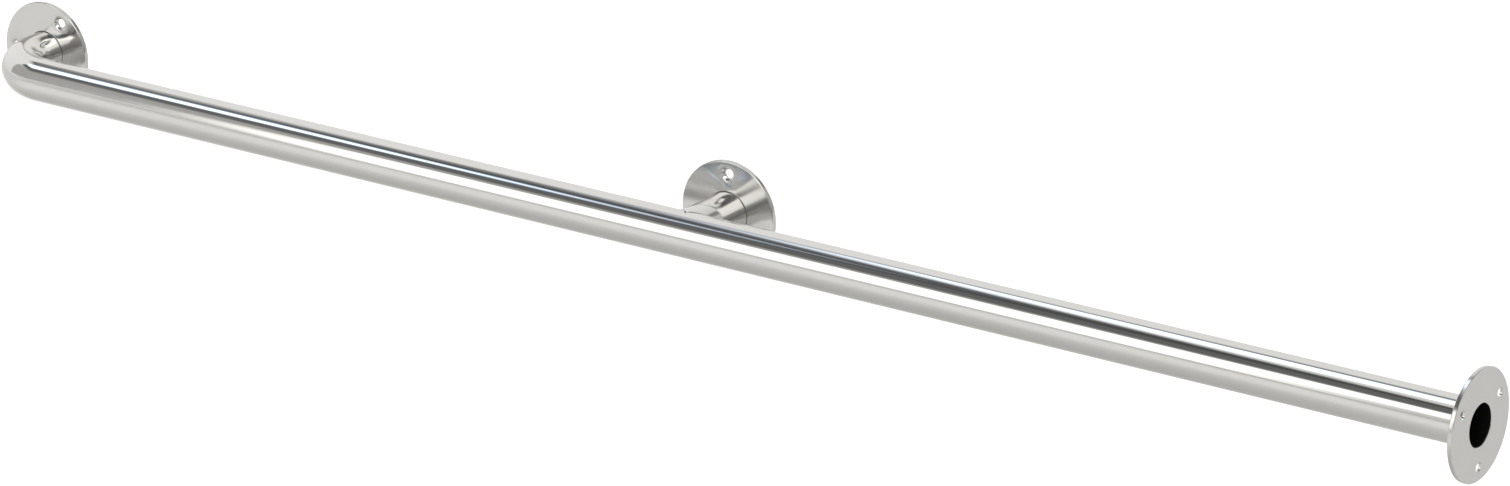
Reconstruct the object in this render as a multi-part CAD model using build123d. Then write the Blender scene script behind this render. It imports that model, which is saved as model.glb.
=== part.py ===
from build123d import *

import os

# Polished grab rail, welded up from round tube and three identical screw-down flanges.
#
# One tube makes the rail and, through a quarter bend, its left leg. A second, short tube is
# the centre leg, coped to saddle the rail. The left and centre legs end on flanges that lie
# on the back wall. The rail's right end butts onto a flange that lies on the side wall.
#
# Frame: +X along the rail towards the side wall, +Y into the back wall, +Z up. The origin is
# the centre of the left flange's mounting face, so the back wall is the plane Y = 0.

# Tube
TUBE_D = 32.0
TUBE_WALL = 1.5
BEND_R = 40.0  # to the tube's centreline

# Layout
RAIL_LENGTH = 1215.0  # left leg's axis to the side wall
CENTRE_LEG_X = 607.0
RAIL_TO_WALL = 54.0  # rail's axis to the back wall: leaves 38 mm for the hand

# Flange, mounting face down in its own frame
FLANGE_D = 76.0
FLANGE_T = 3.4
FRONT_EDGE_R = 0.8
BACK_EDGE_BEVEL = 0.3

# Screw holes, countersunk at 90 degrees from the room side
SCREW_COUNT = 3
SCREW_PCD = 57.0
SCREW_HOLE_D = 6.6
COUNTERSINK_D = 10.1
FIRST_SCREW_ANGLE = {"left": 60.0, "centre": 90.0, "end": 30.0}

# Weld fillets, dressed and polished
WELD_LEG = 0.8
WELD_HOLLOW = 0.12  # how far the fillet's face is dished
TEE_BEAD_R = 0.6

tube_r = TUBE_D / 2
bore_r = tube_r - TUBE_WALL

# Each flange's frame: origin at its mounting face, z out of the wall. A flange's screw
# angles count from its own x towards its own y, which is up the wall.
left_seat = Plane(origin=(0, 0, 0), x_dir=(1, 0, 0), z_dir=(0, -1, 0))
centre_seat = Plane(origin=(CENTRE_LEG_X, 0, 0), x_dir=(1, 0, 0), z_dir=(0, -1, 0))
end_seat = Plane(origin=(RAIL_LENGTH, -RAIL_TO_WALL, 0), x_dir=(0, -1, 0), z_dir=(-1, 0, 0))


def flange(first_angle):
    """Round plate with a bore that continues the tube's, and countersunk screw holes."""
    plate = extrude(Circle(FLANGE_D / 2), FLANGE_T)
    plate = fillet(plate.edges().group_by(Axis.Z)[-1], FRONT_EDGE_R)
    plate = chamfer(plate.edges().group_by(Axis.Z)[0], BACK_EDGE_BEVEL)
    plate -= extrude(Circle(bore_r), FLANGE_T)
    sink_depth = (COUNTERSINK_D - SCREW_HOLE_D) / 2
    hole = extrude(Circle(SCREW_HOLE_D / 2), FLANGE_T)
    hole += Pos(0, 0, FLANGE_T) * Cone(
        SCREW_HOLE_D / 2, COUNTERSINK_D / 2, sink_depth, align=(Align.CENTER, Align.CENTER, Align.MAX)
    )
    for spot in PolarLocations(SCREW_PCD / 2, SCREW_COUNT, start_angle=first_angle):
        plate -= spot * hole
    return plate


def flange_weld():
    """Fillet ring where a tube meets a flange's front face."""
    foot = (tube_r + WELD_LEG, FLANGE_T)
    corner = (tube_r, FLANGE_T)
    top = (tube_r, FLANGE_T + WELD_LEG)
    half_leg = WELD_LEG / 2
    dish = WELD_HOLLOW / 2**0.5
    middle = (tube_r + half_leg - dish, FLANGE_T + half_leg - dish)
    outline = Line(foot, corner) + Line(corner, top) + ThreePointArc(top, middle, foot)
    return revolve(Plane.XZ * make_face(outline), Axis.Z)


def rod(radius, start, end):
    """Solid round bar between two points."""
    axis = Line(start, end)
    return sweep(Plane(origin=axis @ 0, z_dir=axis % 0) * Circle(radius), axis)


def bent_rail():
    """The rail and its left leg: one tube on one path, open at both ends."""
    path = FilletPolyline(
        (0, -FLANGE_T, 0),
        (0, -RAIL_TO_WALL, 0),
        (RAIL_LENGTH - FLANGE_T, -RAIL_TO_WALL, 0),
        radius=BEND_R,
    )
    ring = Circle(tube_r) - Circle(bore_r)
    return sweep(Plane(origin=path @ 0, z_dir=path % 0) * ring, path)


# The centre leg meets the rail on its axis, and a bar as thick as the rail copes its end.
tee = Vector(CENTRE_LEG_X, -RAIL_TO_WALL, 0)
leg_foot = Vector(CENTRE_LEG_X, -FLANGE_T, 0)
leg_bar = rod(tube_r, tee, leg_foot)
rail_bar = rod(tube_r, tee - (2 * TUBE_D, 0, 0), tee + (2 * TUBE_D, 0, 0))


def centre_leg():
    """Short tube with a saddle cut to the rail's outside."""
    return leg_bar - rod(bore_r, tee, leg_foot) - rail_bar


def tee_weld():
    """Bead along the saddle: tubes of one diameter cross on two half ellipses at 45 degrees."""
    bead = Part()
    for side in (1, -1):
        seam_plane = Plane(origin=tee, x_dir=(side, 1, 0), z_dir=(1, -side, 0))
        half_ellipse = EllipticalCenterArc((0, 0), tube_r * 2**0.5, tube_r, start_angle=-90, arc_size=180)
        seam = seam_plane * half_ellipse
        bead += sweep(Plane(origin=seam @ 0, z_dir=seam % 0) * Circle(TEE_BEAD_R), seam)
    return bead - leg_bar - rail_bar


nodes = {
    "rail_tube": bent_rail(),
    "centre_leg_tube": centre_leg(),
    "left_wall_flange": left_seat * flange(FIRST_SCREW_ANGLE["left"]),
    "centre_wall_flange": centre_seat * flange(FIRST_SCREW_ANGLE["centre"]),
    "end_wall_flange": end_seat * flange(FIRST_SCREW_ANGLE["end"]),
    "left_flange_weld": left_seat * flange_weld(),
    "centre_flange_weld": centre_seat * flange_weld(),
    "end_flange_weld": end_seat * flange_weld(),
    "centre_leg_saddle_weld": tee_weld(),
}

os.makedirs("parts", exist_ok=True)
for name, shape in nodes.items():
    export_step(shape, f"parts/{name}.step")
    size = shape.bounding_box().size
    print(f"{name}: {shape.volume:.1f} mm3, {size.X:.1f} x {size.Y:.1f} x {size.Z:.1f} mm")
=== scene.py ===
"""Looks for the polished grab rail: fine meshes on the CAD frame, steel materials, a soft studio."""
from math import atan2, cos, pi, radians, sin, sqrt, tan

import bmesh
import bpy
from mathutils import Matrix, Vector


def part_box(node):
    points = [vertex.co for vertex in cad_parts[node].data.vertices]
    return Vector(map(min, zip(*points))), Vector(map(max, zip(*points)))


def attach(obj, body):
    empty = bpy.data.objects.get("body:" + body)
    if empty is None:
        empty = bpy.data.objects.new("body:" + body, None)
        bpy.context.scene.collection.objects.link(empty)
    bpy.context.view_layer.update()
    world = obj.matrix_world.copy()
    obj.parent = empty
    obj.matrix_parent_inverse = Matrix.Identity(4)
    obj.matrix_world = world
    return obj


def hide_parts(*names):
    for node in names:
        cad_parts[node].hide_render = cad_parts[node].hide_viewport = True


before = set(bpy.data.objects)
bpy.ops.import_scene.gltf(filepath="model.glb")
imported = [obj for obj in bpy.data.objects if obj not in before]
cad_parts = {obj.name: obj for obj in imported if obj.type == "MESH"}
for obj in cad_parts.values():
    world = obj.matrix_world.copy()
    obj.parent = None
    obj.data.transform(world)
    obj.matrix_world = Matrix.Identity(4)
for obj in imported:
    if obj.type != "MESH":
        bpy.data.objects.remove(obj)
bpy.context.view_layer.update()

MM = 0.001
X, Y, Z = Vector((1, 0, 0)), Vector((0, 1, 0)), Vector((0, 0, 1))

# Sizes the frame's boxes give
rail_low, rail_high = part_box("rail_tube")
leg_low, leg_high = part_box("centre_leg_tube")
TUBE_R = rail_high.z
FLANGE_T = -rail_high.y
FLANGE_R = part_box("left_wall_flange")[1].z
RAIL_Y = rail_low.y + TUBE_R
RAIL_END = rail_high.x
SIDE_WALL_X = RAIL_END + FLANGE_T
CENTRE_LEG_X = (leg_low.x + leg_high.x) / 2

# Sizes inside those boxes
BORE_R = 14.5 * MM
BEND_R = 40 * MM
FRONT_EDGE_R = 0.8 * MM
BACK_EDGE_BEVEL = 0.3 * MM
FACE_MARGIN = 0.4 * MM  # between the flat face and the rounded edge's first loop
SCREW_COUNT = 3
SCREW_CIRCLE_R = 28.5 * MM
SCREW_HOLE_R = 3.3 * MM
COUNTERSINK_R = 5.05 * MM
EDGE_BREAK = 0.15 * MM
WELD_LEG = 0.8 * MM
ROOT_SHADE_SIZE = 0.55 * WELD_LEG  # of the painted shade line at the fillet's root
SEAM_BEAD_R = 0.6 * MM

# How finely round shapes are divided
AROUND_TUBE = 128
AROUND_FLANGE = 144
AROUND_HOLE = 48
AROUND_BEAD = 16
BEND_STEPS = 48
CENTRE_LEG_STEPS = 8
EDGE_STEPS = 10
FILLET_STEPS = 8
SEAM_STEPS = 96
LEFT_LEG_STEP = 5 * MM
RAIL_STEP = 15 * MM


# ---------------------------------------------------------------- mesh tools

def ring(centre, across, up, radius, count):
    """Points of a circle, counted from across towards up."""
    turns = [2 * pi * i / count for i in range(count)]
    return [centre + (across * cos(t) + up * sin(t)) * radius for t in turns]


def bridge(bm, row, following, material=0):
    """Skins two loops of vertices that are already there."""
    for i in range(len(row)):
        j = (i + 1) % len(row)
        face = bm.faces.new((row[i], row[j], following[j], following[i]))
        face.material_index = material


def add_loops(bm, loops, material=0, closed=False):
    """Skins successive loops of equally many points, and returns the vertices loop by loop."""
    rows = [[bm.verts.new(p) for p in loop] for loop in loops]
    for row, following in zip(rows, rows[1:]):
        bridge(bm, row, following, material)
    if closed:
        bridge(bm, rows[-1], rows[0], material)
    return rows


def loop_edges(bm, row):
    return [bm.edges.get((row[i], row[(i + 1) % len(row)])) for i in range(len(row))]


def finish_mesh(bm, name, materials, sharp_angle=28):
    """Turns a bmesh into a smooth-shaded piece that rides on the root body."""
    bmesh.ops.recalc_face_normals(bm, faces=bm.faces)
    mesh = bpy.data.meshes.new(name)
    bm.to_mesh(mesh)
    bm.free()
    for material in materials:
        mesh.materials.append(material)
    mesh.shade_smooth()
    mesh.set_sharp_from_angle(angle=radians(sharp_angle))
    piece = bpy.data.objects.new(name, mesh)
    bpy.context.scene.collection.objects.link(piece)
    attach(piece, "root")
    return piece


def write_along(piece, values):
    """Stores each point's distance along its tube, which the polishing lines follow."""
    attribute = piece.data.attributes.new("along", "FLOAT", "POINT")
    attribute.data.foreach_set("value", values)


def steps_between(start, end, step):
    """Evenly spaced values from start to end, about a step apart."""
    count = max(1, round(abs(end - start) / step))
    return [start + (end - start) * i / count for i in range(count + 1)]


# ---------------------------------------------------------------- node tools

class Nodes:
    """Short calls for building a node tree. A value may be a constant or another node's output."""

    def __init__(self, tree):
        self.tree = tree

    def put(self, value, socket):
        if hasattr(value, "is_output"):
            self.tree.links.new(value, socket)
        else:
            socket.default_value = value

    def new(self, kind, settings=None, **inputs):
        """Adds a node. Inputs go by name, or by number after an underscore, as _0 does."""
        node = self.tree.nodes.new(kind)
        for key, value in (settings or {}).items():
            setattr(node, key, value)
        for key, value in inputs.items():
            index = int(key[1:]) if key[0] == "_" else key.replace("_", " ")
            self.put(value, node.inputs[index])
        return node

    def place(self):
        """Where a point lies in its own mesh, which is laid out in the row frame."""
        return self.new("ShaderNodeTexCoord").outputs["Object"]

    def math(self, operation, a, b=0.5):
        node = self.new("ShaderNodeMath", {"operation": operation}, _0=a, _1=b)
        return node.outputs[0]

    def vector_math(self, operation, **inputs):
        return self.new("ShaderNodeVectorMath", {"operation": operation}, **inputs)

    def dot(self, a, b):
        return self.vector_math("DOT_PRODUCT", _0=a, _1=b).outputs["Value"]

    def spread(self, value, low, high, to_low, to_high, smooth=False):
        """Maps low..high to to_low..to_high."""
        kind = {"interpolation_type": "SMOOTHSTEP" if smooth else "LINEAR"}
        node = self.new("ShaderNodeMapRange", kind, _0=value, _1=low, _2=high, _3=to_low, _4=to_high)
        return node.outputs[0]

    def noise(self, vector, scale, detail=2.0, roughness=0.5):
        inputs = {"Vector": vector, "Scale": scale, "Detail": detail, "Roughness": roughness}
        return self.new("ShaderNodeTexNoise", **inputs).outputs["Fac"]

    def mix(self, factor, a, b):
        """Mixes two colours."""
        return self.new("ShaderNodeMix", {"data_type": "RGBA"}, _0=factor, _6=a, _7=b).outputs[2]

    def bump(self, strength, distance, height):
        node = self.new("ShaderNodeBump", Strength=strength, Distance=distance, Height=height)
        return node.outputs[0]


def new_material(name, metallic, specular=0.5):
    """A material, its node tree's tools and its shader's sockets."""
    material = bpy.data.materials.new(name)
    material.use_nodes = True
    sockets = material.node_tree.nodes["Principled BSDF"].inputs
    sockets["Metallic"].default_value = metallic
    sockets["Specular IOR Level"].default_value = specular
    return material, Nodes(material.node_tree), sockets


# ---------------------------------------------------------------- materials

STEEL_TINT = (1.0, 0.992, 0.975)  # stainless steel is a little warm, and so is the floor

# The noise values that become a roughness range's two ends: those of one noise, and those of one
# noise with SECOND_SHARE of a finer one added
ONE_NOISE = (0.3, 0.7)
TWO_NOISES = (0.3, 1.1)
SECOND_SHARE = 0.4

LINE_WIDTH = 0.03  # a polishing line's width, as a share of its length round the tube


def shade(value, tint=STEEL_TINT):
    """A colour of that linear value and tint."""
    return tuple(value * part for part in tint) + (1.0,)


def coat(n, sockets, tone, shades, texture, span, roughness):
    """Colours a surface by the noise tone, and roughens it by the noise texture."""
    n.put(n.mix(tone, *shades), sockets["Base Color"])
    n.put(n.spread(texture, *span, *roughness), sockets["Roughness"])


def grained(name, metallic, noise, shades, roughness, specular=0.5):
    """A material whose colour and roughness follow one noise, of that scale, detail and roughness."""
    material, n, sockets = new_material(name, metallic, specular)
    grain = n.noise(n.place(), *noise)
    coat(n, sockets, grain, shades, grain, ONE_NOISE, roughness)
    return material


def tube_steel():
    """Tube polished on a belt: faint lines run round it, in bands as the belt moved along."""
    material, n, sockets = new_material("polished_tube_steel", 1.0)
    place = n.place()
    parts = n.new("ShaderNodeSeparateXYZ", Vector=place)
    lines = n.new(
        "ShaderNodeCombineXYZ",
        X=n.new("ShaderNodeAttribute", {"attribute_name": "along"}).outputs["Fac"],
        Y=n.math("MULTIPLY", parts.outputs["Y"], LINE_WIDTH),
        Z=n.math("MULTIPLY", parts.outputs["Z"], LINE_WIDTH),
    ).outputs[0]
    bands = n.noise(lines, scale=45.0, detail=1.0)
    fine = n.noise(lines, scale=900.0, detail=3.0, roughness=0.6)
    clouds = n.noise(place, scale=60.0)
    worn = n.math("ADD", n.math("MULTIPLY", bands, 0.5), n.math("MULTIPLY", clouds, 0.5))
    texture = n.math("ADD", worn, n.math("MULTIPLY", fine, SECOND_SHARE))
    coat(n, sockets, worn, (shade(0.63), shade(0.67)), texture, TWO_NOISES, (0.04, 0.08))
    n.put(n.bump(strength=0.12, distance=2e-6, height=fine), sockets["Normal"])
    return material


def plate_steel():
    """Plate polished on a mop: a cloudy grain with no direction."""
    material, n, sockets = new_material("polished_plate_steel", 1.0)
    place = n.place()
    clouds = n.noise(place, scale=70.0, detail=3.0)
    grain = n.noise(place, scale=1400.0, roughness=0.6)
    texture = n.math("ADD", clouds, n.math("MULTIPLY", grain, SECOND_SHARE))
    coat(n, sockets, clouds, (shade(0.575), shade(0.605)), texture, TWO_NOISES, (0.13, 0.18))
    n.put(n.bump(strength=0.10, distance=3e-6, height=grain), sockets["Normal"])
    return material


def turned_steel():
    """The screw holes and their countersinks: bright, as the cutter leaves them."""
    shades = shade(0.62), shade(0.68)
    return grained("turned_countersink_steel", 1.0, (2500.0, 2.0, 0.5), shades, (0.05, 0.1))


def weld_steel():
    """Dressed weld: ground and polished, a touch darker and rougher than the tube."""
    shades = shade(0.52), shade(0.60)
    return grained("dressed_weld_steel", 1.0, (500.0, 3.0, 0.6), shades, (0.12, 0.2))


def painted_root_shade():
    """The fillet's root: a fine dark line of painted shade, standing for the shadow in the crease
    between tube and flange.
    """
    shades = shade(0.07), shade(0.16)
    return grained("root_painted_shade_line", 1.0, (400.0, 3.0, 0.6), shades, (0.3, 0.45))


def painted_bore_shade():
    """The tube's and the flanges' bores: unpolished, coloured near black as painted shade for the dark
    inside of the closed tube.
    """
    shades = (0.0015, 0.0015, 0.0016, 1), (0.006, 0.0055, 0.005, 1)
    return grained("tube_bore_painted_shade", 0.0, (300.0, 4.0, 0.6), shades, (0.7, 0.9), specular=0.1)


tube_material = tube_steel()
plate_material = plate_steel()
sink_material = turned_steel()
weld_material = weld_steel()
root_shade_material = painted_root_shade()
bore_shade_material = painted_bore_shade()


# ---------------------------------------------------------------- tubes

def tube_shell(name, outer, inner, along):
    """A closed tube from its outer and inner loops, its bore in a near-black material of its own that
    paints the inside's shade.

    along holds each loop's distance along the tube.
    """
    bm = bmesh.new()
    outside = add_loops(bm, outer)
    inside = add_loops(bm, inner, material=1)
    bridge(bm, outside[0], inside[0])
    bridge(bm, outside[-1], inside[-1])
    piece = finish_mesh(bm, name, [tube_material, bore_shade_material])
    per_point = [value for value in along for _ in range(AROUND_TUBE)]
    write_along(piece, per_point + per_point)
    return piece


def rail_stations():
    """Each ring's centre, outward direction and distance along, from left foot to right end."""
    bend_centre = Vector((BEND_R, RAIL_Y + BEND_R, 0))
    foot_y = -FLANGE_T
    stations = []
    for y in steps_between(foot_y, bend_centre.y, LEFT_LEG_STEP)[:-1]:
        stations.append((Vector((0, y, 0)), -X, foot_y - y))
    bend_start = foot_y - bend_centre.y
    for step in range(BEND_STEPS + 1):
        angle = pi / 2 * step / BEND_STEPS
        outward = Vector((-cos(angle), -sin(angle), 0))
        stations.append((bend_centre + outward * BEND_R, outward, bend_start + angle * BEND_R))
    rail_start = bend_start + pi / 2 * BEND_R
    for x in steps_between(BEND_R, RAIL_END, RAIL_STEP)[1:]:
        stations.append((Vector((x, RAIL_Y, 0)), -Y, rail_start + x - BEND_R))
    return stations


def make_rail():
    """The rail and its left leg: one bent tube."""
    stations = rail_stations()
    outer = [ring(centre, outward, Z, TUBE_R, AROUND_TUBE) for centre, outward, _ in stations]
    inner = [ring(centre, outward, Z, BORE_R, AROUND_TUBE) for centre, outward, _ in stations]
    piece = tube_shell("rail_tube_polished", outer, inner, [along for _, _, along in stations])
    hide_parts("rail_tube")


def saddle_y(z):
    """Where the rail's outside lies behind its axis, at that height."""
    return RAIL_Y + sqrt(max(0.0, TUBE_R**2 - z**2))


def leg_loop(radius, share):
    """The centre leg's loop that share of the way from its flange to its saddle."""
    loop = []
    for i in range(AROUND_TUBE):
        turn = 2 * pi * i / AROUND_TUBE
        x = CENTRE_LEG_X + radius * cos(turn)
        z = radius * sin(turn)
        y = -FLANGE_T * (1 - share) + saddle_y(z) * share
        loop.append(Vector((x, y, z)))
    return loop


def make_centre_leg():
    """A tube whose far end follows the rail's outside."""
    shares = [i / CENTRE_LEG_STEPS for i in range(CENTRE_LEG_STEPS + 1)]
    outer, inner = ([leg_loop(radius, share) for share in shares] for radius in (TUBE_R, BORE_R))
    length = -FLANGE_T - RAIL_Y
    piece = tube_shell("centre_leg_polished", outer, inner, [share * length for share in shares])
    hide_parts("centre_leg_tube")


# ---------------------------------------------------------------- flanges

def seat(origin, out_of_wall, across):
    """Matrix from a flange's own frame, z out of the wall, to the row frame."""
    up = out_of_wall.cross(across)
    matrix = Matrix((across, up, out_of_wall)).transposed().to_4x4()
    matrix.translation = origin
    return matrix


# Each flange's frame, and its first screw hole's angle in that frame, in degrees
SEATS = {
    "left": (seat(Vector((0, 0, 0)), -Y, X), 60),
    "centre": (seat(Vector((CENTRE_LEG_X, 0, 0)), -Y, X), 90),
    "end": (seat(Vector((SIDE_WALL_X, RAIL_Y, 0)), -X, -Y), 30),
}


def lathe_loops(profile, count, centre=Vector((0, 0, 0))):
    """Circles about z for a profile of (radius, height) pairs."""
    return [ring(centre + Z * height, X, Y, radius, count) for radius, height in profile]


def edge_arc(radius, inset):
    """Quarter round on the front edge, from the face down to the rim."""
    points = []
    for i in range(EDGE_STEPS + 1):
        turn = pi / 2 * i / EDGE_STEPS
        points.append((radius - inset + inset * sin(turn), FLANGE_T - inset + inset * cos(turn)))
    return points


def make_flange(name, node, matrix, first_angle):
    """Round plate: rim, bore and countersunk holes, with flat faces filled between them."""
    bm = bmesh.new()
    rim = [(FLANGE_R - FRONT_EDGE_R - FACE_MARGIN, FLANGE_T)]
    rim += edge_arc(FLANGE_R, FRONT_EDGE_R)
    rim += [(FLANGE_R, BACK_EDGE_BEVEL), (FLANGE_R - BACK_EDGE_BEVEL, 0)]
    rim_rows = add_loops(bm, lathe_loops(rim, AROUND_FLANGE))
    mouth = 2 * EDGE_BREAK
    bore = lathe_loops([(BORE_R, FLANGE_T), (BORE_R, mouth), (BORE_R + mouth, 0)], AROUND_FLANGE)
    # The bore's wall takes the near-black painted shade
    bore_rows = add_loops(bm, bore[:2], material=1)
    mouth_rows = add_loops(bm, bore[1:])
    fronts, backs = [rim_rows[0], bore_rows[0]], [rim_rows[-1], mouth_rows[-1]]
    hole = [
        (COUNTERSINK_R + EDGE_BREAK, FLANGE_T),
        (COUNTERSINK_R - EDGE_BREAK / 2, FLANGE_T - EDGE_BREAK / 2),
        (SCREW_HOLE_R, FLANGE_T - (COUNTERSINK_R - SCREW_HOLE_R)),
        (SCREW_HOLE_R, EDGE_BREAK),
        (SCREW_HOLE_R + EDGE_BREAK, 0),
    ]
    for k in range(SCREW_COUNT):
        angle = radians(first_angle + 360 / SCREW_COUNT * k)
        centre = Vector((SCREW_CIRCLE_R * cos(angle), SCREW_CIRCLE_R * sin(angle), 0))
        rows = add_loops(bm, lathe_loops(hole, AROUND_HOLE, centre), material=2)
        fronts.append(rows[0])
        backs.append(rows[-1])
    for rows in (fronts, backs):
        edges = [edge for row in rows for edge in loop_edges(bm, row)]
        bmesh.ops.triangle_fill(bm, use_beauty=True, edges=edges)
    # The bore and its mouth were skinned apart, and meet on one loop
    bmesh.ops.remove_doubles(bm, verts=bm.verts, dist=1e-7)
    bm.transform(matrix)
    piece = finish_mesh(bm, name, [plate_material, bore_shade_material, sink_material])
    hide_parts(node)


def make_flange_weld(name, node, matrix):
    """Dished fillet ring between a tube and its flange, with painted shade at its root."""
    bm = bmesh.new()
    profile = []
    for i in range(FILLET_STEPS + 1):
        turn = pi / 2 * i / FILLET_STEPS
        radius = TUBE_R + WELD_LEG * (1 - sin(turn))
        profile.append((radius, FLANGE_T + WELD_LEG * (1 - cos(turn))))
    profile.append((TUBE_R, FLANGE_T))
    add_loops(bm, lathe_loops(profile, AROUND_TUBE), closed=True)
    # Faces deep in the fillet's hollow take the painted root shade
    for face in bm.faces:
        centre = face.calc_center_median()
        out, height = centre.xy.length - TUBE_R, centre.z - FLANGE_T
        face.material_index = 1 if 0 < out < ROOT_SHADE_SIZE and 0 < height < ROOT_SHADE_SIZE else 0
    bm.transform(matrix)
    piece = finish_mesh(bm, name, [weld_material, root_shade_material], sharp_angle=40)
    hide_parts(node)


def make_saddle_weld():
    """Round bead along the seam where the centre leg saddles the rail."""
    bm = bmesh.new()
    loops = []
    for i in range(SEAM_STEPS):
        turn = 2 * pi * i / SEAM_STEPS
        side, height = cos(turn), sin(turn)
        depth = abs(side)
        centre = Vector((CENTRE_LEG_X + TUBE_R * side, RAIL_Y + TUBE_R * depth, TUBE_R * height))
        out_of_seam = Vector((side, depth, 2 * height)).normalized()
        across_seam = Vector((1 if side > 0 else -1, -1, 0)).normalized()
        if depth < 1e-6:  # the seam's two halves meet here, and it turns a corner
            across_seam = Y
        loops.append(ring(centre, out_of_seam, across_seam, SEAM_BEAD_R, AROUND_BEAD))
    add_loops(bm, loops, closed=True)
    piece = finish_mesh(bm, "centre_leg_saddle_bead", [weld_material], sharp_angle=60)
    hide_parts("centre_leg_saddle_weld")


make_rail()
make_centre_leg()
for place, (matrix, first_angle) in SEATS.items():
    make_flange(f"{place}_flange_polished", f"{place}_wall_flange", matrix, first_angle)
    make_flange_weld(f"{place}_flange_fillet", f"{place}_flange_weld", matrix)
make_saddle_weld()


# ---------------------------------------------------------------- studio

FLOOR_Z = -1.0  # the rail hangs about a metre up
FLOOR_HALF = 40
FLOOR_SHADOW_CENTRE = (0.0, 0.3, FLOOR_Z)  # the painted shadow on the floor is darkest here
FLOOR_SHADOW_FADE = 2.6  # and the painted shadow has faded out this far away
# Floor colours at the painted shadow's darkest point and outside the shadow
FLOOR_SHADOW_SHADES = (0.58, 0.83)

SUN_STRENGTH = 0.55
SUN_WIDTH = 30  # degrees
SPOT_BLEND = 0.6
SPOT_SIZE = 0.3

# Camera angles in degrees; azimuth 0 is straight in front of the back wall
AIM = Vector((0.6673, -0.0584, 0.0079))
CAMERA_AZIMUTH = 34.266
CAMERA_ELEVATION = 19.93
CAMERA_DISTANCE = 4.3057
CAMERA_ROLL = 0.375
LENS = 153.1
SENSOR_WIDTH = 36

# The room: its brightness is ROOM_LEVEL plus the ray's part along ROOM_SLOPE
ROOM_TINT = (1.0, 0.992, 0.97)
ROOM_LEVEL = 0.66
ROOM_SLOPE = (-0.33, 0.10, 0.28)

# Far-off panels, all in degrees: azimuth, elevation, half width, half height, turn, and how far the
# upright and the level edges fade. Then brightness and tint. Later ones hang in front of earlier ones.
WARM, COOL, GREY = (1.0, 0.99, 0.955), (0.78, 0.92, 1.12), (1.0, 1.02, 1.02)
PANELS = (
    # dim wall in front on the left, and the dark ceiling above it
    (32, 25.5, 25, 17, 11, (1.5, 2), 0.53, WARM),
    (59, 54, 41, 16.5, -19, (3, 3.5), 0.17, GREY),
    (98, 53, 14, 11, 0, (3, 3), 0.11, GREY),
    (1, 54.5, 25, 2.2, 18, (4, 3.5), 0.07, GREY),
    # dim patches high behind the wall, left and right
    (-40, 54, 18, 3.7, 6, (4, 4), 0.24, GREY),
    (-135, 39, 24, 9, 0, (4, 4), 0.32, GREY),
    # pale ceiling on the left, and two cool ceiling lamps
    (23, 68, 28, 7.4, -9, (2, 1.2), 0.92, WARM),
    (6, 50.3, 8.5, 3.1, 20, (4.5, 3), 3.2, COOL),
    (-17.5, 62, 10.5, 3.0, 34, (4, 3.5), 2.6, COOL),
    # wide softbox in front, and its dimmer foot
    (76, 21, 24, 16.5, 5, (1, 1.5), 1.8, WARM),
    (75.5, 6, 12.5, 10, 0, (1.5, 4.5), 0.70, WARM),
    # tall softbox beside it, towards the side wall, and its brighter head
    (116, 34.5, 12.5, 17.5, -3, (3, 3), 2.0, WARM),
    (113.5, 47, 9, 7, -3, (3, 3), 3.2, WARM),
)
LEAST_DEPTH = 0.02  # rays pointing away from a panel, or nearly square to its direction, miss it


def direction(azimuth, elevation):
    """Unit vector; azimuth 0 is to the left along the rail, 90 is in front of the wall."""
    a, e = radians(azimuth), radians(elevation)
    return Vector((-cos(e) * cos(a), -cos(e) * sin(a), sin(e)))


def panel_mask(n, ray, azimuth, elevation, half_width, half_height, turn, fades):
    """1 where the ray meets a flat far-off rectangle, 0 elsewhere; all in degrees."""
    forward = direction(azimuth, elevation)
    across = Z.cross(forward).normalized()
    up = forward.cross(across)
    t = radians(turn)
    across, up = across * cos(t) + up * sin(t), up * cos(t) - across * sin(t)
    depth = n.dot(ray, forward)
    mask = n.math("GREATER_THAN", depth, LEAST_DEPTH)
    for side, half, fade in ((across, half_width, fades[0]), (up, half_height, fades[1])):
        offset = n.math("ABSOLUTE", n.math("DIVIDE", n.dot(ray, side), depth))
        size, edge = tan(radians(half)), tan(radians(fade))
        inside = n.spread(offset, size + edge, size - edge, 0.0, 1.0, smooth=True)
        mask = n.math("MULTIPLY", mask, inside)
    return mask


def make_world():
    """A pale room with the panels hung in it."""
    world = bpy.data.worlds.new("studio")
    world.use_nodes = True
    n = Nodes(world.node_tree)
    ray = n.new("ShaderNodeTexCoord").outputs["Generated"]
    level = n.math("ADD", n.dot(ray, ROOM_SLOPE), ROOM_LEVEL)
    colour = n.vector_math("SCALE", _0=ROOM_TINT, Scale=level).outputs[0]
    for *shape, brightness, tint in PANELS:
        colour = n.mix(panel_mask(n, ray, *shape), colour, shade(brightness, tint))
    background = world.node_tree.nodes["Background"]
    n.put(colour, background.inputs["Color"])
    bpy.context.scene.world = world


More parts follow.
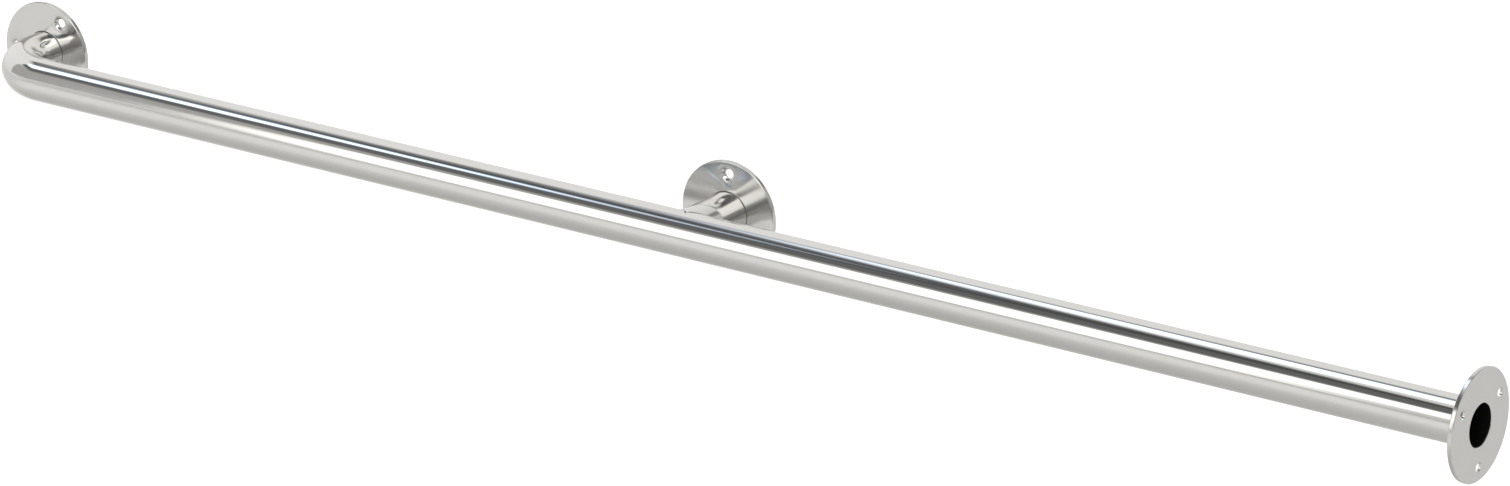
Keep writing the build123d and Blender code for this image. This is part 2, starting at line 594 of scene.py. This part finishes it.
def make_floor():
    """Pale floor, its colour darkened round a point below the rail as a painted soft shadow."""
    mesh = bpy.data.meshes.new("floor")
    half = FLOOR_HALF
    spots = (-half, -half), (half, -half), (half, half), (-half, half)
    mesh.from_pydata([(x, y, FLOOR_Z) for x, y in spots], [], [(0, 1, 2, 3)])
    floor = bpy.data.objects.new("floor", mesh)
    bpy.context.scene.collection.objects.link(floor)
    material, n, sockets = new_material("pale_floor_painted_shadow", 0.0, specular=0.0)
    away = n.vector_math("DISTANCE", _0=n.place(), _1=FLOOR_SHADOW_CENTRE).outputs["Value"]
    # Painted shadow: the floor's colour darkens towards the point below the rail
    shadow_fade = n.spread(away, 0.0, FLOOR_SHADOW_FADE, 0.0, 1.0, smooth=True)
    n.put(n.mix(shadow_fade, *(shade(value) for value in FLOOR_SHADOW_SHADES)), sockets["Base Color"])
    sockets["Roughness"].default_value = 0.9
    mesh.materials.append(material)


def add_lamp(name, kind, energy):
    """A lamp that points straight down and that mirrors do not show."""
    light = bpy.data.lights.new(name, kind)
    light.energy = energy
    lamp = bpy.data.objects.new(name, light)
    lamp.visible_glossy = False
    bpy.context.scene.collection.objects.link(lamp)
    return lamp


def make_sun():
    """Even light from straight above for the floor."""
    lamp = add_lamp("even_light", "SUN", SUN_STRENGTH)
    lamp.data.angle = radians(SUN_WIDTH)


def make_floor_lamp(name, x, y, height, radius, power):
    """A soft spot that washes a disc of floor."""
    lamp = add_lamp(name, "SPOT", power)
    lamp.data.spot_size = 2 * atan2(radius, height)
    lamp.data.spot_blend = SPOT_BLEND
    lamp.data.shadow_soft_size = SPOT_SIZE
    lamp.location = (x, y, FLOOR_Z + height)


def make_camera():
    data = bpy.data.cameras.new("camera")
    data.lens = LENS
    data.sensor_width = SENSOR_WIDTH
    camera = bpy.data.objects.new("camera", data)
    a, e = radians(CAMERA_AZIMUTH), radians(CAMERA_ELEVATION)
    back = Vector((sin(a) * cos(e), -cos(a) * cos(e), sin(e)))
    camera.location = AIM + back * CAMERA_DISTANCE
    level = (-back).to_track_quat("-Z", "Y").to_matrix()
    turn = level @ Matrix.Rotation(radians(CAMERA_ROLL), 3, "Z")
    camera.rotation_euler = turn.to_euler()
    bpy.context.scene.collection.objects.link(camera)
    bpy.context.scene.camera = camera


make_world()
make_floor()
make_sun()
make_floor_lamp("back_wash", x=-0.95, y=2.6, height=10.0, radius=2.5, power=2800)
make_floor_lamp("front_wash", x=-1.5, y=-5.0, height=10.0, radius=5.0, power=900)
make_camera()
bpy.context.scene.view_settings.view_transform = "Standard"
